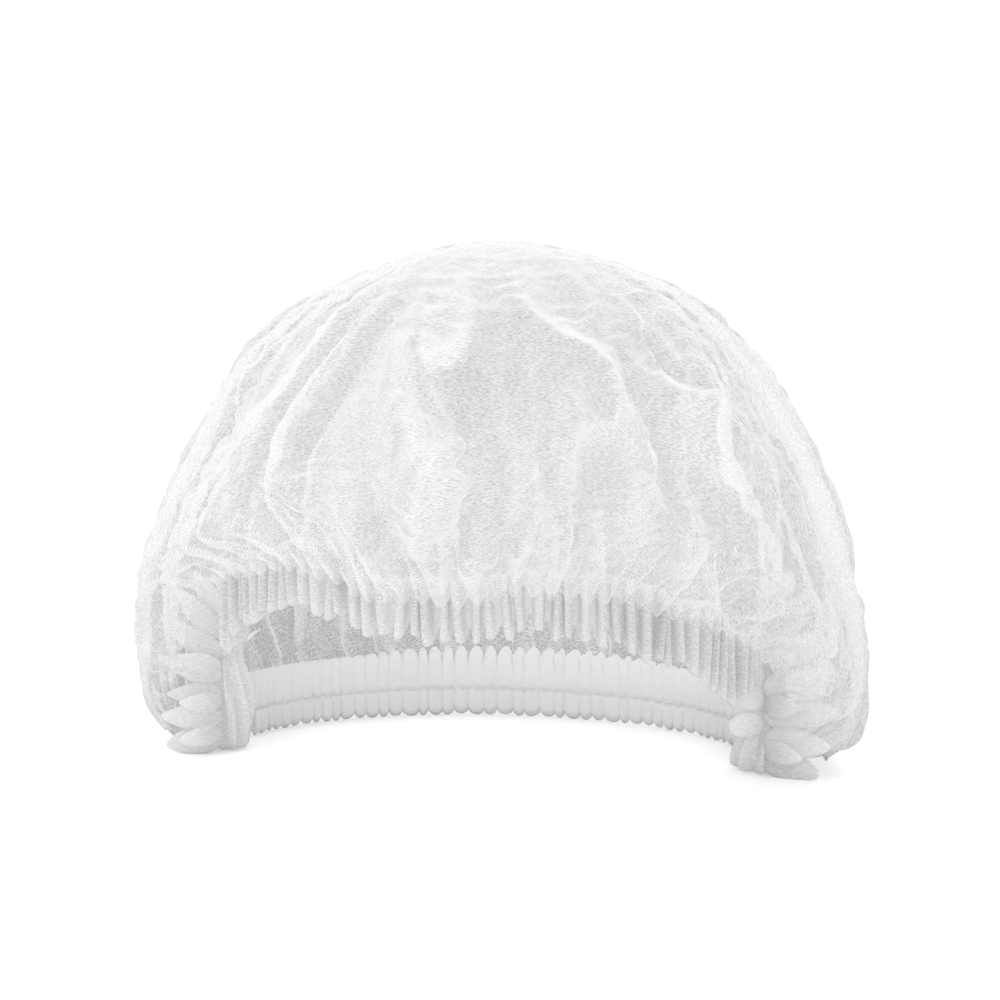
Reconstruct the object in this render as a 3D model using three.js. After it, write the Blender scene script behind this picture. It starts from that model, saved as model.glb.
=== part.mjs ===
// A disposable hair cover cap: one thin non-woven sheet, gathered by elastic into a low round mouth.
// It stands on a table at z = 0, its mouth open below and to the front (-Y), with the front edge raised.
// Millimetres, +Z up, +X to the wearer's left as seen from the front. Angles run anticlockwise from +X.
import * as THREE from "three";
import { LoftGeometry } from "three/addons/geometries/LoftGeometry.js";

// ---- Driving sizes
const SHEET_WALL = 1.2;
const HEM_WALL = 2.0;
const MOUTH = { centreX: -3, halfWidth: 94, halfDepth: 63 };
const SEGMENTS_ROUND = 96;
const CROWN_RINGS = 15;

// The gathered edge over the forehead: a short ruffled wall arching up from the two ends.
const FRONT_HEM = {
  from: 198, to: 342, gathers: 30, ruffle: 1.5, scallop: 2.5, height: 17, lean: -3, pinch: 0,
};
const FRONT_HEM_MEAN_RISE = 51;
// How far the front hem's lower edge is above the table, by its angle round the mouth.
const FRONT_HEM_RISES = [
  { at: 198, rise: 37 },
  { at: 212, rise: 53 },
  { at: 232, rise: 57 },
  { at: 252, rise: 50 },
  { at: 275, rise: 50 },
  { at: 296, rise: 50 },
  { at: 318, rise: 42 },
  { at: 342, rise: 26 },
];

// The gathered band behind the head: taller, pinched along its stitch line, standing flat on the table.
const BACK_HEM = {
  from: 16, to: 164, gathers: 32, ruffle: 1.4, scallop: 1.8, height: 25, lean: -2, pinch: 0.5,
};
const STITCH_SHARE = 0.42; // how far up a hem its stitch line runs
const SAMPLES_PER_GATHER = 4;

// The two ends where the sheet's pleats are bunched and welded together between the hems.
const END_GATHER = { flutes: 9, samplesPerFlute: 4, fluteDepth: 0.14 };
const END_GATHER_SECTIONS = [
  { up: 0, halfWidth: 9.5, halfDepth: 11, shift: 1 },
  { up: 5, halfWidth: 12, halfDepth: 12, shift: 0.5 },
  { up: 18, halfWidth: 11, halfDepth: 11.5, shift: 0 },
  { up: 30, halfWidth: 12.5, halfDepth: 12, shift: 0 },
  { up: 42, halfWidth: 12.5, halfDepth: 11.5, shift: 1 },
  { up: 52, halfWidth: 8, halfDepth: 8, shift: 3 },
];

// The crown from its edge at the mouth, out over the table and up to the top. left, right, front and back
// are distances out from the middle, and sideUp, frontUp and backUp are heights. fold is the radial folds'
// half height, arch sets how squarely the front rises between the two ends, and follow is how far a section
// keeps the hem's waves.
const CROWN_COLUMNS = [
  "left", "right", "front", "back", "sideUp", "frontUp", "backUp", "fold", "arch", "follow",
];
const CROWN_SECTIONS = [
  [112, 107, 69, 68.5, 6, 64, 4.5, 0.6, 20, 1],
  [118, 115, 76, 79, 4.5, 71, 3.5, 1.6, 14, 0.9],
  [125, 125, 88, 96, 14, 82, 12, 2.4, 8, 0.6],
  [128.5, 128, 97, 105, 35, 97, 35, 2.4, 4, 0.3],
  [128.5, 125.5, 98, 107, 60, 114, 62, 2, 3, 0.1],
  [122, 118, 91, 102, 87, 132, 92, 1.7, 2, 0],
  [107, 105, 77, 88, 117, 149, 121, 1.4, 2, 0],
  [82, 82, 57, 66, 147, 163, 149, 1.2, 2, 0],
  [47, 50, 33, 38, 168, 173, 169, 0.8, 2, 0],
  [7, 7, 6, 6, 178, 178, 178, 0, 2, 0],
].map((row) => Object.fromEntries(CROWN_COLUMNS.map((column, i) => [column, row[i]])));
const FOLDS_ROUND = 24;

// The larger creases of the crown: a ridge (or a dent, if height is negative) centred on the angle at,
// widthDeg wide, from the share low to the share high of the way up, leaning leanDeg as it climbs.
const MAIN_FOLDS = [
  { at: 205, widthDeg: 7, height: -4, low: 0.1, high: 0.8, leanDeg: 20 },
  { at: 228, widthDeg: 6, height: 3.5, low: 0.05, high: 0.75, leanDeg: -12 },
  { at: 247, widthDeg: 6, height: -3.5, low: 0.1, high: 0.7, leanDeg: 10 },
  { at: 266, widthDeg: 6, height: 3.5, low: 0.05, high: 0.75, leanDeg: 12 },
  { at: 288, widthDeg: 6, height: -3.5, low: 0.1, high: 0.75, leanDeg: 8 },
  { at: 309, widthDeg: 7, height: 3.5, low: 0.05, high: 0.8, leanDeg: 8 },
  { at: 333, widthDeg: 7, height: -4, low: 0.1, high: 0.8, leanDeg: -16 },
  { at: 30, widthDeg: 8, height: -4, low: 0.2, high: 0.8, leanDeg: 10 },
  { at: 75, widthDeg: 8, height: -4, low: 0.2, high: 0.7, leanDeg: -10 },
  { at: 120, widthDeg: 8, height: -4, low: 0.2, high: 0.8, leanDeg: 10 },
  { at: 158, widthDeg: 8, height: -3, low: 0.2, high: 0.7, leanDeg: -8 },
];

const rad = THREE.MathUtils.degToRad;
const mix = THREE.MathUtils.lerp;

// How square an arch is at an angle: 1 at the two ends of the mouth and 0 half way between them.
function endShare(angle, power) {
  return Math.abs(Math.cos(angle)) ** power;
}

// How far the hems' lower edge is above the table at an angle, eased from one row of the table to the next.
function hemRise(angle) {
  const turned = (THREE.MathUtils.radToDeg(angle) + 360) % 360;
  if (turned < 180) return 0;
  const next = FRONT_HEM_RISES.find((row) => row.at > turned) ?? FRONT_HEM_RISES.at(-1);
  const last = FRONT_HEM_RISES.findLast((row) => row.at <= turned) ?? FRONT_HEM_RISES[0];
  return mix(last.rise, next.rise, THREE.MathUtils.smoothstep(turned, last.at, next.at));
}

// ---- Hems
// One section of a hem's wall at an angle: up the outside and down the inside, pinched at the stitch line.
function hemSection(hem, angle, wave) {
  const out = new THREE.Vector2(Math.cos(angle) / MOUTH.halfWidth, Math.sin(angle) / MOUTH.halfDepth);
  out.normalize();
  const bottom = hemRise(angle) + hem.scallop * Math.max(0, wave);
  const top = hemRise(angle) + hem.height;
  const levels = [
    { up: bottom, share: 0, wall: HEM_WALL },
    { up: mix(bottom, top, STITCH_SHARE), share: STITCH_SHARE, wall: HEM_WALL * (1 - hem.pinch) },
    { up: top, share: 1, wall: HEM_WALL },
  ];
  const point = (level, side) => {
    const away = hem.ruffle * wave + hem.lean * level.share + side * level.wall / 2;
    return new THREE.Vector3(
      MOUTH.centreX + MOUTH.halfWidth * Math.cos(angle) + out.x * away,
      MOUTH.halfDepth * Math.sin(angle) + out.y * away,
      level.up,
    );
  };
  return [
    ...levels.map((level) => point(level, 1)),
    ...levels.toReversed().map((level) => point(level, -1)),
  ];
}

function hemGeometry(hem) {
  const steps = hem.gathers * SAMPLES_PER_GATHER;
  const sections = [];
  for (let i = 0; i <= steps; i++) {
    const angle = rad(mix(hem.from, hem.to, i / steps));
    sections.push(hemSection(hem, angle, Math.sin((i / SAMPLES_PER_GATHER) * 2 * Math.PI)).toReversed());
  }
  return new LoftGeometry(sections, { capStart: true, capEnd: true });
}

// ---- End gathers
// side is -1 for the one on -X and 1 for the one on +X.
function endGatherGeometry(side) {
  const count = END_GATHER.flutes * END_GATHER.samplesPerFlute;
  const sections = END_GATHER_SECTIONS.map((row) => {
    const points = [];
    for (let i = 0; i < count; i++) {
      const angle = (i / count) * 2 * Math.PI;
      const flute = 1 + END_GATHER.fluteDepth * Math.cos(END_GATHER.flutes * angle);
      points.push(new THREE.Vector3(
        MOUTH.centreX + side * (MOUTH.halfWidth - row.shift) + row.halfWidth * flute * Math.cos(angle),
        row.halfDepth * flute * Math.sin(angle),
        row.up,
      ));
    }
    return points;
  });
  return new LoftGeometry(sections, { capStart: true, capEnd: true });
}

// ---- Crown
// The smooth point of one crown section at an angle.
function crownRowPoint(row, angle) {
  const across = Math.cos(angle);
  const along = Math.sin(angle);
  const waved = row.frontUp + row.follow * (hemRise(angle) - FRONT_HEM_MEAN_RISE);
  const edgeUp = along < 0 ? waved : row.backUp;
  return new THREE.Vector3(
    across * (across < 0 ? row.left : row.right),
    along * (along < 0 ? row.front : row.back),
    mix(edgeUp, row.sideUp, endShare(angle, row.arch)),
  );
}

// How far the sheet stands out from its smooth form: the even radial folds and the main folds together.
function foldHeight(angle, share) {
  const place = share * (CROWN_SECTIONS.length - 1);
  const below = Math.min(Math.floor(place), CROWN_SECTIONS.length - 2);
  const even = mix(CROWN_SECTIONS[below].fold, CROWN_SECTIONS[below + 1].fold, place - below);
  let height = even * Math.sin(FOLDS_ROUND * angle + Math.sin(3 * angle) + 2 * share);
  for (const fold of MAIN_FOLDS) {
    const along = (share - fold.low) / (fold.high - fold.low);
    if (along <= 0 || along >= 1) continue;
    const centre = rad(fold.at + fold.leanDeg * along);
    const off = Math.atan2(Math.sin(angle - centre), Math.cos(angle - centre)) / rad(fold.widthDeg);
    height += fold.height * Math.sin(Math.PI * along) * Math.exp(-off * off);
  }
  return height;
}

// The normal of a grid of rings at ring i and place j, pointing out of the crown.
function ringNormal(rings, i, j) {
  const count = rings[i].length;
  const round = rings[i][(j + 1) % count].clone().sub(rings[i][(j + count - 1) % count]);
  const up = rings[Math.min(i + 1, rings.length - 1)][j].clone().sub(rings[Math.max(i - 1, 0)][j]);
  return round.cross(up).normalize();
}

function moved(rings, distance) {
  return rings.map((ring, i) => ring.map((point, j) =>
    point.clone().addScaledVector(ringNormal(rings, i, j), distance(i, j))));
}

function crownGeometry() {
  const angleAt = (j) => (j / SEGMENTS_ROUND) * 2 * Math.PI;
  const shareAt = (i) => i / (CROWN_RINGS - 1);
  const meridians = Array.from({ length: SEGMENTS_ROUND }, (_, j) =>
    new THREE.CatmullRomCurve3(CROWN_SECTIONS.map((row) => crownRowPoint(row, angleAt(j)))));
  const smooth = Array.from({ length: CROWN_RINGS }, (_, i) =>
    meridians.map((curve) => curve.getPoint(shareAt(i))));
  const folded = moved(smooth, (i, j) => foldHeight(angleAt(j), shareAt(i)));
  const outer = moved(folded, () => SHEET_WALL / 2);
  const inner = moved(folded, () => -SHEET_WALL / 2);
  return new LoftGeometry([pole(inner.at(-1)), ...inner.toReversed(), ...outer, pole(outer.at(-1))]);
}

// A section shrunk to the middle of the ring next to it, which closes the crown's top.
function pole(ring) {
  const centre = new THREE.Box3().setFromPoints(ring).getCenter(new THREE.Vector3());
  return ring.map(() => centre);
}

// ---- Materials and the assembly
const sheetWhite = new THREE.MeshStandardMaterial({ color: 0xeeeeee, roughness: 0.8, metalness: 0 });
const hemWhite = new THREE.MeshStandardMaterial({ color: 0xf6f6f6, roughness: 0.75, metalness: 0 });

function piece(name, geometry, material) {
  const mesh = new THREE.Mesh(geometry, material);
  mesh.name = name;
  return mesh;
}

const cap = new THREE.Group();
cap.add(
  piece("crown", crownGeometry(), sheetWhite),
  piece("front_hem", hemGeometry(FRONT_HEM), hemWhite),
  piece("back_hem", hemGeometry(BACK_HEM), hemWhite),
  piece("left_end_gather", endGatherGeometry(-1), hemWhite),
  piece("right_end_gather", endGatherGeometry(1), hemWhite),
);

// The origin is below the middle of the whole cap, on the table.
const box = new THREE.Box3().setFromObject(cap, true);
const middle = box.getCenter(new THREE.Vector3());
cap.position.set(-middle.x, -middle.y, -box.min.z);

export default cap;
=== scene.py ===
"""The looks of a disposable hair cover cap: a thin see-through sheet gathered into a low mouth.

Everything is in metres in the cap's own frame: +Z up, -Y to the raised front edge, +X to the right
seen from the front. Angles round the mouth run anticlockwise from +X.
"""
import math

import bmesh
import bpy
import numpy as np
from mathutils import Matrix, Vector
from mathutils.bvhtree import BVHTree
from mathutils.noise import voronoi


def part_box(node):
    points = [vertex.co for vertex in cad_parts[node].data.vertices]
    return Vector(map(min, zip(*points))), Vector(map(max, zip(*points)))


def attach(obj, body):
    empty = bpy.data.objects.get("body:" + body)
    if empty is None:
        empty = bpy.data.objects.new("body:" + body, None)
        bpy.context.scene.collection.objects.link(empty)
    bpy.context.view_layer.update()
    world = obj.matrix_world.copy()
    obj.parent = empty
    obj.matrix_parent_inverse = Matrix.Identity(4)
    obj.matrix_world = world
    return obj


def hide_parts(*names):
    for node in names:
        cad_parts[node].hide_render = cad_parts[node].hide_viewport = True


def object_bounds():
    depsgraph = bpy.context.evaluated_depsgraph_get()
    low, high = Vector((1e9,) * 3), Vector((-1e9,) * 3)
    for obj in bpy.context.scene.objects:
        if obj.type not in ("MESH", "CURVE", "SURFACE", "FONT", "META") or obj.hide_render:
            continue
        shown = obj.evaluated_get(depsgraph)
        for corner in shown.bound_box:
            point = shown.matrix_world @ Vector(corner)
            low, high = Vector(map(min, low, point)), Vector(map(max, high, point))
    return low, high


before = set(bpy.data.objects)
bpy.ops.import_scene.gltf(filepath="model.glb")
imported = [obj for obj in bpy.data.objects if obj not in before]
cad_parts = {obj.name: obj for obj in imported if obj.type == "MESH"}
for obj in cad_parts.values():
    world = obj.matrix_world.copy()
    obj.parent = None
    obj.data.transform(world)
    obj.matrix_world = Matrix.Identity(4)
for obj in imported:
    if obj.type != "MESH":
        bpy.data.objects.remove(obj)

MM = 0.001
cad_low, cad_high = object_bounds()

# ---- The mouth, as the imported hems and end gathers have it
left_low, left_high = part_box("left_end_gather")
right_low, right_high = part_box("right_end_gather")
front_low, front_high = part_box("front_hem")
back_low, back_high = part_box("back_hem")
LEFT_END = (left_low + left_high) / 2
RIGHT_END = (right_low + right_high) / 2
HEM_PROUD = 2.5 * MM  # how far the hems' ruffles and walls stand out from the mouth's line
MOUTH_X = (LEFT_END.x + RIGHT_END.x) / 2
MOUTH_Y = (front_low.y + back_high.y) / 2
MOUTH_HALF_X = (RIGHT_END.x - LEFT_END.x) / 2
MOUTH_HALF_Y = (back_high.y - front_low.y) / 2 - HEM_PROUD

FRONT_FROM, FRONT_TO = math.radians(198), math.radians(342)
BACK_FROM, BACK_TO = math.radians(16), math.radians(164)
GATHERS_ROUND = 115  # gathers in the whole edge of the sheet, welded ends included


def mouth_point(angle, out, z):
    """A point out metres outside the mouth's line at each angle, at height z."""
    across, along = np.cos(angle) / MOUTH_HALF_X, np.sin(angle) / MOUTH_HALF_Y
    size = np.hypot(across, along)
    return np.stack([
        MOUTH_X + MOUTH_HALF_X * np.cos(angle) + out * across / size,
        MOUTH_Y + MOUTH_HALF_Y * np.sin(angle) + out * along / size,
        z + np.zeros_like(angle),
    ], axis=1)


def cad_points(node):
    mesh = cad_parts[node].data
    points = np.empty(len(mesh.vertices) * 3, np.float32)
    mesh.vertices.foreach_get("co", points)
    return points.reshape(-1, 3).astype(float)


def hem_heights(node, angle):
    """The lowest and highest edge of a packed hem near each angle round the mouth."""
    points = cad_points(node)
    around = np.arctan2((points[:, 1] - MOUTH_Y) / MOUTH_HALF_Y, (points[:, 0] - MOUTH_X) / MOUTH_HALF_X)
    around = np.mod(around, 2 * np.pi)
    places = np.linspace(around.min(), around.max(), 32)
    half = (places[1] - places[0]) * 0.8
    near = [points[np.abs(around - place) < half, 2] for place in places]
    low = np.interp(angle, places, [heights.min() for heights in near])
    high = np.interp(angle, places, [heights.max() for heights in near])
    return low, high


# The front edge is drawn up in waves: how far, in mm, at places from left to right, in mm.
WAVES = ((-86, 0), (-68, 3), (-56, 8), (-42, 9), (-33, 5), (-12, 4.5), (2, 5), (20, 8), (36, 6.5), (56, 5),
         (72, 3), (88, 0))


def front_lift(x):
    """How far the front edge is drawn up at each place from left to right."""
    places, lifts = zip(*WAVES)
    return np.interp(x / MM, places, lifts) * MM


# ---- Small helpers for pieces
def grid_mesh(name, across, along):
    """A flat grid of across by along squares from -1 to 1, and its points."""
    shape = bmesh.new()
    bmesh.ops.create_grid(shape, x_segments=across, y_segments=along, size=1.0)
    mesh = bpy.data.meshes.new(name)
    shape.to_mesh(mesh)
    shape.free()
    return mesh, points_of(mesh)


def points_of(mesh):
    points = np.empty(len(mesh.vertices) * 3, np.float32)
    mesh.vertices.foreach_get("co", points)
    return points.reshape(-1, 3).astype(float)


def set_points(mesh, points):
    mesh.vertices.foreach_set("co", points.astype(np.float32).ravel())
    mesh.update()


def set_cloth_map(mesh, flat):
    """Gives the mesh a UV map of where each point lies in the flat sheet, in metres."""
    loops = np.empty(len(mesh.loops), np.int32)
    mesh.loops.foreach_get("vertex_index", loops)
    layer = mesh.uv_layers.new(name="cloth")
    layer.data.foreach_set("uv", flat[loops, :2].astype(np.float32).ravel())


def piece(mesh, material, slot, *nodes):
    made = bpy.data.objects.new(mesh.name, mesh)
    bpy.context.scene.collection.objects.link(made)
    mesh.materials.append(material)
    mesh.polygons.foreach_set("use_smooth", [True] * len(mesh.polygons))
    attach(made, "root")
    if nodes:
        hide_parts(*nodes)
    return made


def refine(made, levels=1):
    finer = made.modifiers.new("refine", "SUBSURF")
    finer.levels = finer.render_levels = levels
    return finer


# ---- Materials
def maths(nodes, links, operation, first, second=None, clamp=False):
    node = nodes.new("ShaderNodeMath")
    node.operation = operation
    node.use_clamp = clamp
    for socket, value in zip(node.inputs, (first, second)):
        if isinstance(value, (int, float)):
            socket.default_value = value
        elif value is not None:
            links.new(value, socket)
    return node.outputs[0]


def spanned(nodes, links, value, low, high, to_low, to_high):
    span = nodes.new("ShaderNodeMapRange")
    for name, number in (("From Min", low), ("From Max", high), ("To Min", to_low), ("To Max", to_high)):
        span.inputs[name].default_value = number
    links.new(value, span.inputs["Value"])
    return span.outputs["Result"]


def fibres(nodes, links, place, turn, fine, stretch):
    """Fine streaks of fibre lying along one direction of the sheet."""
    lay = nodes.new("ShaderNodeMapping")
    lay.inputs["Rotation"].default_value = (0, 0, math.radians(turn))
    lay.inputs["Scale"].default_value = (fine, fine * stretch, 1)
    links.new(place, lay.inputs["Vector"])
    streaks = nodes.new("ShaderNodeTexNoise")
    streaks.noise_dimensions = "2D"
    streaks.inputs["Scale"].default_value = 1.0
    streaks.inputs["Detail"].default_value = 0.0
    links.new(lay.outputs["Vector"], streaks.inputs["Vector"])
    return streaks.outputs["Fac"]


LAYERS_WHERE_LAPPED = 3.5  # a fold pressed over itself, with the fibres crowded at its crease


def spun_bond(name, thin, dense, glow, white, slant):
    """Thin white spun-bond cloth. thin and dense are how much of the view it hides between its fibres and at
    them, glow is the share of its light that comes through it, and slant is how much of what is left open
    closes where it is seen along its surface."""
    material = bpy.data.materials.new(name)
    material.use_nodes = True
    nodes, links = material.node_tree.nodes, material.node_tree.links
    nodes.clear()
    cloth_map = nodes.new("ShaderNodeUVMap")
    cloth_map.uv_map = "cloth"
    place = cloth_map.outputs["UV"]

    one_way = fibres(nodes, links, place, 24, 520, 3.5)
    other_way = fibres(nodes, links, place, 118, 590, 3.5)
    laid = maths(nodes, links, "MAXIMUM", one_way, other_way)
    cover = spanned(nodes, links, laid, 0.42, 0.72, thin, dense)

    facing = nodes.new("ShaderNodeLayerWeight")
    facing.inputs["Blend"].default_value = 0.5
    along = maths(nodes, links, "POWER", facing.outputs["Facing"], 2.0)
    left_open = maths(nodes, links, "SUBTRACT", 1.0, maths(nodes, links, "MULTIPLY", along, slant))
    gap = maths(nodes, links, "MULTIPLY", maths(nodes, links, "SUBTRACT", 1.0, cover), left_open)
    lapped = nodes.new("ShaderNodeAttribute")
    lapped.attribute_name = "lapped"
    layers = spanned(nodes, links, lapped.outputs["Fac"], 0, 1, 1, LAYERS_WHERE_LAPPED)
    gap = maths(nodes, links, "POWER", gap, layers)
    cover = maths(nodes, links, "SUBTRACT", 1.0, gap, clamp=True)

    face = nodes.new("ShaderNodeBsdfPrincipled")
    face.inputs["Base Color"].default_value = (white, white, white, 1)
    face.inputs["Specular IOR Level"].default_value = 0.25
    links.new(spanned(nodes, links, other_way, 0.3, 0.7, 0.62, 0.85), face.inputs["Roughness"])
    through = nodes.new("ShaderNodeBsdfTranslucent")
    through.inputs["Color"].default_value = (white, white, white, 1)
    cloth = nodes.new("ShaderNodeMixShader")
    cloth.inputs["Fac"].default_value = glow
    links.new(face.outputs[0], cloth.inputs[1])
    links.new(through.outputs[0], cloth.inputs[2])
    clear = nodes.new("ShaderNodeBsdfTransparent")
    whole = nodes.new("ShaderNodeMixShader")
    links.new(cover, whole.inputs["Fac"])
    links.new(clear.outputs[0], whole.inputs[1])
    links.new(cloth.outputs[0], whole.inputs[2])
    end = nodes.new("ShaderNodeOutputMaterial")
    links.new(whole.outputs[0], end.inputs["Surface"])
    return material


sheet_cloth = spun_bond("sheet_cloth", 0.20, 0.50, 0.45, 0.98, 1.0)
hem_cloth = spun_bond("hem_cloth", 0.42, 0.70, 0.50, 0.99, 1.0)
band_cloth = spun_bond("band_cloth", 0.90, 0.98, 0.45, 0.99, 0.5)
end_cloth = spun_bond("end_cloth", 0.78, 0.94, 0.50, 0.99, 1.0)


# ---- The crown
HEART = Vector((0, 0, 0.5 * cad_high.z))  # every point of the crown's wall is in sight from here
SQUARES = 150
SHEET_SLACK = 1.05
ROUND, DOWN = 96, 110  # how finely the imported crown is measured


def crown_lines():
    """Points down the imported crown's wall at even angles, each line from the top to the mouth's edge at even
    lengths, with the lengths of the lines."""
    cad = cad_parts["crown"].data
    wall = BVHTree.FromPolygons([v.co for v in cad.vertices], [p.vertices for p in cad.polygons])
    edge_x, edge_y = MOUTH_HALF_X, MOUTH_HALF_Y
    lines, lengths = [], []
    for turn in np.linspace(0, 2 * np.pi, ROUND, endpoint=False):
        way = math.atan2(edge_y * math.sin(turn), edge_x * math.cos(turn))
        found = []
        for dip in np.linspace(math.radians(89.9), math.radians(-70), DOWN):
            ray = Vector((math.cos(dip) * math.cos(way), math.cos(dip) * math.sin(way), math.sin(dip)))
            hit = wall.ray_cast(HEART, ray)[0]
            if hit is None:
                break
            found.append(hit)
        found = np.array([tuple(p) for p in found])
        run = np.concatenate([[0], np.cumsum(np.linalg.norm(np.diff(found, axis=0), axis=1))])
        even = np.linspace(0, run[-1], DOWN)
        lines.append(np.stack([np.interp(even, run, found[:, k]) for k in range(3)], axis=1))
        lengths.append(run[-1])
    return np.array(lines), np.array(lengths)


def on_lines(lines, turn, share):
    """The points of the crown at these angles and shares of the way from its top to its edge."""
    place = np.mod(turn, 2 * np.pi) / (2 * np.pi) * ROUND
    near = np.floor(place).astype(int) % ROUND
    next_ = (near + 1) % ROUND
    part = (place - np.floor(place))[:, None]
    down = np.clip(share, 0, 1) * (DOWN - 1)
    row = np.minimum(np.floor(down).astype(int), DOWN - 2)
    step = (down - row)[:, None]
    one = lines[near, row] * (1 - step) + lines[near, row + 1] * step
    two = lines[next_, row] * (1 - step) + lines[next_, row + 1] * step
    return one * (1 - part) + two * part


def round_map(points):
    """A square grid's points as angles and shares of a disc's radius, with even squares all over."""
    u, v = points[:, 0], points[:, 1]
    wide = np.abs(u) > np.abs(v)
    share = np.where(wide, np.abs(u), np.abs(v))
    safe_u, safe_v = np.where(np.abs(u) < 1e-9, 1e-9, u), np.where(np.abs(v) < 1e-9, 1e-9, v)
    turn = np.where(wide, np.pi / 4 * v / safe_u, np.pi / 2 - np.pi / 4 * u / safe_v)
    turn = turn + np.where(np.where(wide, u, v) < 0, np.pi, 0)
    return np.mod(turn, 2 * np.pi), share


def crown_sheet():
    """The sheet itself: an oval cut from flat cloth, gathered at its edge and puffed out by simulation."""
    lines, lengths = crown_lines()
    mesh, grid = grid_mesh("crown_sheet", SQUARES, SQUARES)
    turn, share = round_map(grid)

    reach = SHEET_SLACK * np.where(np.cos(turn) < 0, lengths[ROUND // 2], lengths[0])
    depth = SHEET_SLACK * np.where(np.sin(turn) < 0, lengths[3 * ROUND // 4], lengths[ROUND // 4])
    flat = np.stack([reach * share * np.cos(turn), depth * share * np.sin(turn), 0 * turn], axis=1)

    form = on_lines(lines, turn, share)
    front = np.interp(-np.sin(turn), [0, 0.3], [0, 1]) * np.interp(share, [0.7, 0.95], [0, 1])
    form[:, 2] += front_lift(form[:, 0]) * front
    tiny = 1e-3
    round_way = on_lines(lines, turn + 0.02, share) - on_lines(lines, turn - 0.02, share)
    down_way = on_lines(lines, turn, np.minimum(share + tiny * 20, 1)) - on_lines(lines, turn, share - tiny * 20)
    out = np.cross(down_way, round_way)
    out /= np.maximum(np.linalg.norm(out, axis=1, keepdims=True), 1e-12)

    rng = np.random.default_rng(7)
    sway = 0.9 * np.sin(3 * turn + 0.4) + 0.6 * np.sin(7 * turn + 2.1) + 0.25 * np.sin(19 * turn + 1.0)
    lapped = np.zeros(len(turn))
    folds = 3.0 * MM * np.interp(share, [0.78, 1.0], [0.0, 1.0]) * np.cos(GATHERS_ROUND * turn)
    for count, height, low, most, high in FOLD_FAMILIES:
        reachable = np.interp(share, [low, most, high], [0.0, 1.0, 0.0])
        start = rng.uniform(0, 2 * np.pi)
        lie = (count * turn + start + sway * (1 - share) * 5 + 1.4 * np.sin(5 * turn + 9 * share)
               + 0.8 * np.sin(11 * turn - 14 * share))
        each = rng.uniform(0.1, 1.0, count)
        strength = np.interp(np.mod(lie / (2 * np.pi), count), np.arange(count + 1), [*each, each[0]])
        folds += height * MM * reachable * strength * (0.6 - 2 * np.abs(np.sin(lie / 2)) ** 0.8) * 1.5
        past = np.mod(lie / (2 * np.pi), 1)
        lapped = np.maximum(lapped, strength * reachable * np.exp(-past / 0.22))
    worn = form + out * folds[:, None]

    set_points(mesh, flat * SIM_SCALE)
    blank = bpy.data.objects.new("crown_sheet_blank", mesh)
    bpy.context.scene.collection.objects.link(blank)
    blank.shape_key_add(name="Cut")
    gathered = blank.shape_key_add(name="Gathered")
    gathered.data.foreach_set("co", (worn * SIM_SCALE).astype(np.float32).ravel())
    gathered.value = 0
    gathered.keyframe_insert("value", frame=1)
    gathered.value = 1
    gathered.keyframe_insert("value", frame=GATHERED_BY)
    hold = blank.vertex_groups.new(name="hold")
    grip = np.where(share > 0.9999, 1.0, np.interp(share, [0, 0.5, 0.9, 1.0], HOLDS))
    for i, weight in enumerate(grip):
        hold.add([i], float(weight), "REPLACE")
    points = settle(blank)
    bpy.data.objects.remove(blank)
    bpy.data.meshes.remove(mesh)

    settled, _ = grid_mesh("crown_sheet", SQUARES, SQUARES)
    points = points / SIM_SCALE
    set_points(settled, points)
    points = points + crumple(settled, flat, turn, share)
    points[:, 2] = np.maximum(points[:, 2], 0.3 * MM)
    set_points(settled, points)
    layer = settled.attributes.new("lapped", "FLOAT", "POINT")
    layer.data.foreach_set("value", lapped.astype(np.float32))
    set_cloth_map(settled, flat)
    made = piece(settled, sheet_cloth, "sheet", "crown")
    refine(made)
    width = SHEET_SLACK * (lengths[0] + lengths[ROUND // 2])
    length = SHEET_SLACK * (lengths[ROUND // 4] + lengths[3 * ROUND // 4])
    return made, width, length


# Families of folds up the crown: how many go round, their height, and the shares of the way down from the
# top where they start, are highest and end.
FOLD_FAMILIES = (
    (61, 2.2, 0.60, 0.90, 1.0),
    (37, 4.6, 0.38, 0.80, 1.0),
    (23, 6.0, 0.24, 0.66, 0.99),
    (13, 5.6, 0.10, 0.50, 0.95),
)
SIM_SCALE = 10.0  # the cloth solver is steadier on a sheet metres across
GATHERED_BY, SETTLED_BY = 24, 36
HOLDS = [0.50, 0.58, 0.58, 0.50]


def crumple(mesh, flat, turn, share):
    """Pressed creases: long thin ridges running up from the gathered edge and a net of smaller ones."""
    normals = np.empty(len(mesh.vertices) * 3, np.float32)
    mesh.vertices.foreach_get("normal", normals)
    height = np.zeros(len(flat))
    for i, (x, y, _) in enumerate(flat):
        net = voronoi(Vector((x * 38, y * 38, 0.4 * math.sin(9 * x) + 3)))[0]
        far = voronoi(Vector((x * 90 + 5, y * 90, 1.5)))[0]
        upright = Vector((7 * math.cos(turn[i]), 7 * math.sin(turn[i]), 3.2 * share[i] + 0.3 * net[0]))
        long = voronoi(upright)[0]
        height[i] = (2.6 * math.exp(-(long[1] - long[0]) / 0.09) + 1.2 * math.exp(-(net[1] - net[0]) / 0.10)
                     - 0.6 * math.exp(-(far[1] - far[0]) / 0.12))
    height *= np.interp(share, [0.0, 0.35, 0.9, 1.0], [0.45, 1.0, 0.8, 0.0]) * MM
    return normals.reshape(-1, 3) * height[:, None]


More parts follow.
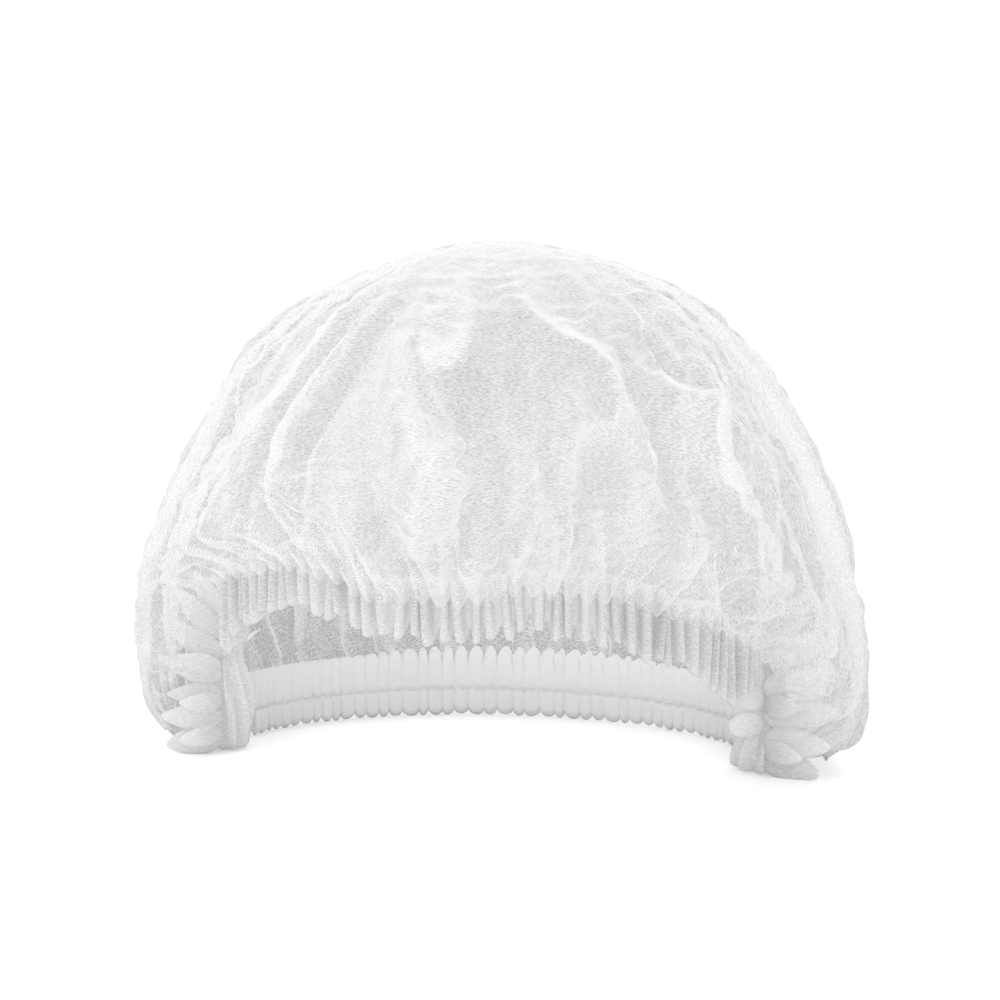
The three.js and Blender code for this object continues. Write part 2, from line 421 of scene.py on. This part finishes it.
def settle(blank):
    """Runs the cloth to rest and returns its points."""
    cloth = blank.modifiers.new("cloth", "CLOTH")
    rules = cloth.settings
    rules.quality = 5
    rules.mass = 0.02
    rules.tension_stiffness = rules.compression_stiffness = 15
    rules.shear_stiffness = 5
    rules.bending_stiffness = 0.015
    rules.tension_damping = rules.compression_damping = rules.shear_damping = 1
    rules.bending_damping = 0.5
    rules.air_damping = 1
    rules.vertex_group_mass = "hold"
    rules.pin_stiffness = 1
    rules.effector_weights.gravity = 0
    cloth.collision_settings.use_collision = False
    cloth.point_cache.frame_end = SETTLED_BY
    for frame_number in range(1, SETTLED_BY + 1):
        bpy.context.scene.frame_set(frame_number)
    solved = blank.evaluated_get(bpy.context.evaluated_depsgraph_get())
    points = np.empty(len(blank.data.vertices) * 3, np.float32)
    solved.data.vertices.foreach_get("co", points)
    bpy.context.scene.frame_set(1)
    return points.reshape(-1, 3).astype(float)


# ---- The hems
def ribbon(phase, depth, round_out):
    """One place on a gathered edge seen from above: how far along it lies, in gathers, and how far out.
    round_out swells the loops until they touch."""
    return phase + round_out * np.sin(4 * np.pi * phase) / (4 * np.pi), depth * np.cos(2 * np.pi * phase)


def front_hem():
    """The front edge: a row of upright tubes, each a gather of the folded hem, round at the bottom."""
    count = round(GATHERS_ROUND * (FRONT_TO - FRONT_FROM) / (2 * np.pi))
    per = 12
    levels = 26
    mesh, grid = grid_mesh("front_hem_gathers", count * per, levels)
    along, down = (grid[:, 0] + 1) / 2, (grid[:, 1] + 1) / 2
    phase = along * count
    rng = np.random.default_rng(11)
    marks = np.arange(count + 1)
    drop = np.interp(phase, marks, rng.uniform(-2.2, 2.2, count + 1)) * MM
    deep = np.interp(phase, marks, rng.uniform(2.4, 4.2, count + 1)) * MM
    lean = np.interp(phase, marks, rng.uniform(-0.5, 0.5, count + 1))
    at, out = ribbon(phase, 1.0, 0.9)
    at += np.interp(at, marks, rng.uniform(-0.24, 0.24, count + 1))
    # down runs from the outer top edge, round the bottom fold, to the inner top edge.
    face = np.clip((down - 0.5) / 0.06, -1, 1)
    depth_share = 1 - np.abs(down - 0.5) * 2
    angle0 = FRONT_FROM + (FRONT_TO - FRONT_FROM) * at / count
    low, high = hem_heights("front_hem", angle0)
    lift = front_lift(mouth_point(angle0, 0, 0)[:, 0])
    low, high = low + lift, high + lift
    across = 2 * np.abs(phase - np.round(phase))
    bottom = low - 0.5 * MM + drop + 4.5 * MM * (1 - np.sqrt(1 - 0.98 * across ** 2))
    top = high + 3 * MM
    fade = np.sqrt(np.clip(np.minimum(along, 1 - along) / 0.05, 0, 1))  # both ends run into the bunches
    z = top + (bottom - top) * np.sin(depth_share * np.pi / 2) ** 0.9 * (0.35 + 0.65 * fade)
    round_end = np.interp(depth_share, [0.0, 0.7, 0.9, 1.0], [1.0, 1.0, 0.85, 0.55])
    wall = 0.9 * MM * np.interp(depth_share, [0, 0.9, 1.0], [1.0, 1.0, 0.0])
    away = deep * out * round_end - wall * face - 0.5 * MM
    angle = angle0 + lean * (1 - depth_share) * (FRONT_TO - FRONT_FROM) / count
    points = mouth_point(angle, away, z)
    set_points(mesh, points)
    run = phase * 13 * MM
    set_cloth_map(mesh, np.stack([run, down * 52 * MM], axis=1))
    made = piece(mesh, hem_cloth, "hem", "front_hem")
    return made


def back_hem():
    """The band behind the head: flat gathers side by side, drawn in along their stitch line."""
    count = round(GATHERS_ROUND * (BACK_TO - BACK_FROM) / (2 * np.pi))
    per = 12
    levels = 48
    mesh, grid = grid_mesh("back_hem_band", count * per, levels)
    along, down = (grid[:, 0] + 1) / 2, (grid[:, 1] + 1) / 2
    phase = along * count
    rng = np.random.default_rng(5)
    marks = np.arange(count + 1)
    drop = np.interp(phase, marks, rng.uniform(-1.0, 1.0, count + 1)) * MM
    uneven = np.interp(phase, marks, rng.uniform(-0.22, 0.22, count + 1) * (marks % count > 0))
    angle = BACK_FROM + (BACK_TO - BACK_FROM) * (phase + uneven) / count
    low, high = hem_heights("back_hem", angle)
    depth_share = 1 - np.abs(down - 0.5) * 2
    face = np.clip((down - 0.5) / 0.04, -1, 1)
    bump = np.sqrt(np.abs(np.sin(np.pi * phase)))
    middle = np.exp(-((along - 0.5) / 0.22) ** 4)
    height = high - low
    bottom = np.maximum(low + 0.3 * MM + 1.8 * MM * (1 - bump) + drop * 0.4, 0.1 * MM)
    top = high - 2 * MM + middle * (bump - 0.5) * 5 * MM
    up_share = 1 - depth_share
    z = bottom + (top - bottom) * up_share ** 1.0
    stitch = np.exp(-((up_share - STITCH_SHARE) / 0.035) ** 2)
    ruffle = (0.35 + 0.7 * np.clip((STITCH_SHARE - up_share) / STITCH_SHARE, 0, 1)
              + middle * 2.2 * np.clip((up_share - 0.86) / 0.14, 0, 1)) * MM
    wall = (1.6 * MM - 1.0 * MM * stitch) * np.interp(depth_share, [0, 0.94, 1.0], [1.0, 1.0, 0.15])
    away = face * (wall + ruffle * (bump - 0.3)) - 0.5 * MM
    # The inner face is the one that shows through the mouth.
    points = mouth_point(angle, away, z)
    set_points(mesh, points)
    set_cloth_map(mesh, np.stack([phase * 13 * MM, down * 60 * MM], axis=1))
    made = piece(mesh, band_cloth, "hem", "back_hem")
    return made


def stitches():
    """The thread that holds the band's elastic: one short stitch over each gather, on its inner face."""
    count = round(GATHERS_ROUND * (BACK_TO - BACK_FROM) / (2 * np.pi))
    shape = bmesh.new()
    angles = BACK_FROM + (BACK_TO - BACK_FROM) * (np.arange(count) + 0.5) / count
    low, high = hem_heights("back_hem", angles)
    places = mouth_point(angles, -1.9 * MM, low + (high - low) * STITCH_SHARE)
    ahead = mouth_point(angles + 0.01, -1.9 * MM, low + (high - low) * STITCH_SHARE) - places
    for place, way in zip(places, ahead):
        way = Vector(way).normalized()
        stitch = bmesh.ops.create_uvsphere(shape, u_segments=8, v_segments=8, radius=1)["verts"]
        side = way.cross(Vector((0, 0, 1)))
        for vert in stitch:
            x, y, z = vert.co
            vert.co = Vector(place) + way * z * 1.5 * MM + (side * x + Vector((0, 0, y))) * 0.34 * MM
    bmesh.ops.recalc_face_normals(shape, faces=shape.faces)
    mesh = bpy.data.meshes.new("back_hem_stitches")
    shape.to_mesh(mesh)
    shape.free()
    set_cloth_map(mesh, points_of(mesh)[:, [0, 2]])
    return piece(mesh, thread, "hem", "back_hem")


def plain_thread():
    material = bpy.data.materials.new("thread")
    material.use_nodes = True
    surface = material.node_tree.nodes["Principled BSDF"]
    # Painted shade: the thread's grey, darker than the cloth, stands in for the shade along the stitches.
    surface.inputs["Base Color"].default_value = (0.80, 0.80, 0.80, 1)
    surface.inputs["Roughness"].default_value = 0.6
    return material


thread = plain_thread()
STITCH_SHARE = 0.42


# ---- The welded ends
def leaf(shape, root, way, up, long, tall, thick, curl, blunt):
    """One pleat of a bunch: a flattened pocket of cloth running out from root along way to its tip. curl
    bends it towards up, and blunt keeps its far end wide."""
    side = way.cross(up).normalized()
    for vert in bmesh.ops.create_uvsphere(shape, u_segments=20, v_segments=14, radius=1)["verts"]:
        out = (vert.co.z + 1) / 2
        round_tip = math.sqrt(max(0.0, 1 - vert.co.z ** 2))
        body = math.atan2(vert.co.y, vert.co.x)
        width = (1 - (1 - blunt) * out ** 1.5) * round_tip ** (0.75 if blunt > 0.7 else 1.0)
        groove = 1 - 0.35 * abs(math.cos(body)) ** 3
        vert.co = (root + way * long * out + up * (tall / 2 * width * math.sin(body) + curl * long * out ** 2)
                   + side * thick * groove * width * math.cos(body))


def end_core(shape, low, high, middle, rng):
    """The welded middle of a bunch: a post of tight pleats, standing flat on the table."""
    bmesh.ops.create_cone(shape, cap_ends=True, segments=72, radius1=1, radius2=1, depth=2)
    upright = [edge for edge in shape.edges if abs(edge.verts[0].co.z - edge.verts[1].co.z) > 1]
    bmesh.ops.subdivide_edges(shape, edges=upright, cuts=20)
    sway = rng.uniform(0, 2 * math.pi, 3)
    for vert in shape.verts:
        turn, level = math.atan2(vert.co.y, vert.co.x), (vert.co.z + 1) / 2
        flutes = 1 + 0.20 * math.cos(9 * turn + 3.5 * math.sin(3 * level + sway[0])) + 0.08 * math.cos(
            17 * turn + sway[1] + 5 * level)
        bulge = 0.76 + 0.18 * math.sin(9 * level + sway[2]) * (1 - level) - 0.52 * level ** 1.6
        vert.co = Vector((
            middle.x + (high.x - low.x) * 0.37 * flutes * bulge * math.cos(turn),
            middle.y + (high.y - low.y) * 0.39 * flutes * bulge * math.sin(turn),
            low.z + 0.2 * MM + (high.z - low.z) * level,
        ))


def end_gather(side, name, node, leaves):
    low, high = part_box(node)
    middle = (low + high) / 2
    shape = bmesh.new()
    rng = np.random.default_rng(21 if side < 0 else 22)
    end_core(shape, low, high, middle, rng)
    for row in leaves:
        rise, turn = math.radians(row["rise"]), math.radians(row["turn"])
        way = Vector((side * math.cos(rise) * math.cos(turn), -math.cos(rise) * math.sin(turn), math.sin(rise)))
        up = Vector((-side * math.sin(rise), 0, math.cos(rise)))
        root = Vector((middle.x, middle.y - row["near"] * MM, low.z + row["up"] * MM))
        leaf(shape, root, way, up, row["long"] * MM, row["tall"] * MM, row["thick"] * MM, row["curl"],
             row["blunt"])
    for vert in shape.verts:
        vert.co.z = max(vert.co.z, 0.1 * MM)
    bmesh.ops.recalc_face_normals(shape, faces=shape.faces)
    mesh = bpy.data.meshes.new(name)
    shape.to_mesh(mesh)
    shape.free()
    set_cloth_map(mesh, points_of(mesh)[:, [0, 2]])
    made = piece(mesh, end_cloth, "hem", node)
    refine(made)
    return made


LEAF_COLUMNS = ("up", "near", "rise", "turn", "long", "tall", "thick", "curl", "blunt")


def rows(*table):
    return [dict(zip(LEAF_COLUMNS, row)) for row in table]


# The pleats of each bunch: where each starts above the table and in front of the middle, in mm, how it
# rises and turns towards the front, in degrees, its sizes in mm, its curl and how wide its end stays.
LEFT_LEAVES = rows(
    (7, 8, -14, 10, 20, 13, 3.4, 0.05, 0.55),
    (14, 9, -6, 14, 21, 12, 3.2, 0.10, 0.45),
    (21, 9, 4, 8, 19, 11, 3.0, -0.05, 0.35),
    (28, 8, 12, 16, 23, 12, 3.2, 0.10, 0.30),
    (35, 7, 24, 10, 25, 12, 3.0, 0.15, 0.25),
    (41, 6, 42, 12, 26, 11, 3.0, 0.10, 0.25),
    (45, 4, 62, 10, 22, 11, 2.8, 0.00, 0.30),
    (12, -6, -10, -30, 20, 12, 3.2, 0.05, 0.50),
    (24, -7, 8, -35, 21, 12, 3.2, 0.05, 0.40),
    (37, -6, 28, -30, 22, 12, 3.0, 0.10, 0.30),
    (31, 9, 14, 42, 18, 9, 2.6, 0.10, 0.40),
    (19, 9, 0, 46, 17, 9, 2.6, 0.10, 0.40),
    (8, 8, -8, 40, 17, 9, 2.6, 0.05, 0.45),
    (36, 8, 22, 165, 15, 6, 1.6, 0.30, 0.35),
)
RIGHT_LEAVES = rows(
    (6, 8, -12, 12, 20, 13, 3.6, 0.00, 0.60),
    (13, 9, -4, 16, 24, 14, 3.6, 0.05, 0.50),
    (21, 9, 6, 10, 26, 14, 3.4, 0.00, 0.55),
    (29, 9, 16, 14, 27, 15, 3.4, 0.05, 0.50),
    (37, 8, 28, 12, 28, 14, 3.2, 0.05, 0.40),
    (44, 7, 46, 14, 27, 13, 3.0, 0.10, 0.35),
    (48, 5, 66, 8, 24, 12, 3.0, 0.05, 0.35),
    (16, -6, -2, -32, 22, 13, 3.4, 0.05, 0.50),
    (30, -7, 18, -34, 24, 13, 3.2, 0.05, 0.45),
    (24, 8, 6, 44, 18, 10, 2.8, 0.05, 0.50),
    (10, 8, -6, 40, 18, 10, 2.8, 0.05, 0.50),
    (38, 7, 16, 46, 18, 10, 2.6, 0.05, 0.45),
    (18, 8, 2, 140, 14, 9, 2.4, 0.00, 0.85),
    (27, 8, 8, 125, 14, 9, 2.4, 0.00, 0.85),
    (50, 9, 38, 24, 24, 6, 2.6, 0.10, 0.50),
    (52, 9, 58, 22, 22, 6, 2.6, 0.05, 0.50),
    (53, 9, 80, 20, 18, 6, 2.6, 0.00, 0.50),
)


crown, crown_width, crown_length = crown_sheet()
front = front_hem()
back = back_hem()
seam = stitches()
left_end = end_gather(-1, "left_end_pleats", "left_end_gather", LEFT_LEAVES)
right_end = end_gather(1, "right_end_pleats", "right_end_gather", RIGHT_LEAVES)


# ---- Floor, light and camera
# The second floor value is painted shade: the floor's grey where the camera sees it through the cloth.
FLOOR_WHITE, FLOOR_PAINTED_SHADE_BEHIND_CLOTH, FLOOR_GLOW = 0.90, 0.30, 0.30
AIR = 0.75
LOOK_AT = Vector((0.0003, 0, 0.090))
AZIMUTH, ELEVATION, DISTANCE, LENS = math.radians(9), math.radians(9), 0.9, 95.0


def floor_paint():
    """Plain white, with painted shade: greyer where it is seen through the cloth, standing in for the shade
    inside the cap.
    """
    material = bpy.data.materials.new("floor_paint")
    material.use_nodes = True
    nodes, links = material.node_tree.nodes, material.node_tree.links
    surface = nodes["Principled BSDF"]
    surface.inputs["Base Color"].default_value = (FLOOR_WHITE, FLOOR_WHITE, FLOOR_WHITE, 1)
    surface.inputs["Roughness"].default_value = 0.9
    surface.inputs["Emission Color"].default_value = (1, 1, 1, 1)
    # Painted shade: a grey floor wherever the camera sees it through one or more layers of cloth.
    grey = nodes.new("ShaderNodeBsdfDiffuse")
    grey.inputs["Color"].default_value = (FLOOR_PAINTED_SHADE_BEHIND_CLOTH, FLOOR_PAINTED_SHADE_BEHIND_CLOTH, FLOOR_PAINTED_SHADE_BEHIND_CLOTH, 1)
    path = nodes.new("ShaderNodeLightPath")
    glow = maths(nodes, links, "MULTIPLY", path.outputs["Is Camera Ray"], FLOOR_GLOW)
    links.new(glow, surface.inputs["Emission Strength"])
    behind = maths(nodes, links, "MINIMUM", path.outputs["Transparent Depth"], 1.0)
    seen = maths(nodes, links, "MULTIPLY", behind, path.outputs["Is Camera Ray"])
    paint = nodes.new("ShaderNodeMixShader")
    links.new(seen, paint.inputs["Fac"])
    links.new(surface.outputs[0], paint.inputs[1])
    links.new(grey.outputs[0], paint.inputs[2])
    links.new(paint.outputs[0], nodes["Material Output"].inputs["Surface"])
    return material


def studio():
    """A white floor that curves up on all sides, soft lights and even air."""
    shape = bmesh.new()
    start = shape.verts.new((0, 0, 0))
    flat, bend = 1.6, 0.8
    outline = [start, shape.verts.new((flat, 0, 0))]
    steps = 10
    for i in range(1, steps + 1):
        turn = math.pi / 2 * i / steps
        outline.append(shape.verts.new((flat + bend * math.sin(turn), 0, bend * (1 - math.cos(turn)))))
    edges = [shape.edges.new(pair) for pair in zip(outline, outline[1:])]
    bmesh.ops.spin(shape, geom=outline + edges, cent=(0, 0, 0), axis=(0, 0, 1), angle=2 * math.pi,
                   steps=64, use_merge=True)
    bmesh.ops.remove_doubles(shape, verts=shape.verts, dist=1e-5)
    bmesh.ops.recalc_face_normals(shape, faces=shape.faces)
    mesh = bpy.data.meshes.new("floor")
    shape.to_mesh(mesh)
    shape.free()
    mesh.polygons.foreach_set("use_smooth", [True] * len(mesh.polygons))
    floor = bpy.data.objects.new("floor", mesh)
    mesh.materials.append(floor_paint())
    bpy.context.scene.collection.objects.link(floor)
    for name, place, power, size in (
        ("key_light", (-0.8, -0.8, 1.2), 7, 0.8),
        ("back_light", (0.5, 0.8, 1.3), 6, 0.8),
        ("front_light", (0.3, -1.4, 0.4), 4, 0.6),
    ):
        lamp = bpy.data.lights.new(name, "AREA")
        lamp.energy = power
        lamp.size = size
        light = bpy.data.objects.new(name, lamp)
        bpy.context.scene.collection.objects.link(light)
        light.location = place
        light.rotation_euler = (Vector(place) - LOOK_AT).to_track_quat("Z", "Y").to_euler()
    world = bpy.data.worlds.new("studio_air")
    world.use_nodes = True
    world.node_tree.nodes["Background"].inputs["Color"].default_value = (1, 1, 1, 1)
    world.node_tree.nodes["Background"].inputs["Strength"].default_value = AIR
    scene = bpy.context.scene
    scene.world = world
    scene.view_settings.view_transform = "Standard"
    scene.cycles.max_bounces = 5
    scene.cycles.diffuse_bounces = 2
    scene.cycles.transparent_max_bounces = 12


def camera():
    lens = bpy.data.cameras.new("camera")
    lens.lens = LENS
    eye = bpy.data.objects.new("camera", lens)
    bpy.context.scene.collection.objects.link(eye)
    back = Vector((
        math.sin(AZIMUTH) * math.cos(ELEVATION), -math.cos(AZIMUTH) * math.cos(ELEVATION), math.sin(ELEVATION),
    ))
    eye.location = LOOK_AT + back * DISTANCE
    eye.rotation_euler = back.to_track_quat("Z", "Y").to_euler()
    bpy.context.scene.camera = eye


studio()
camera()
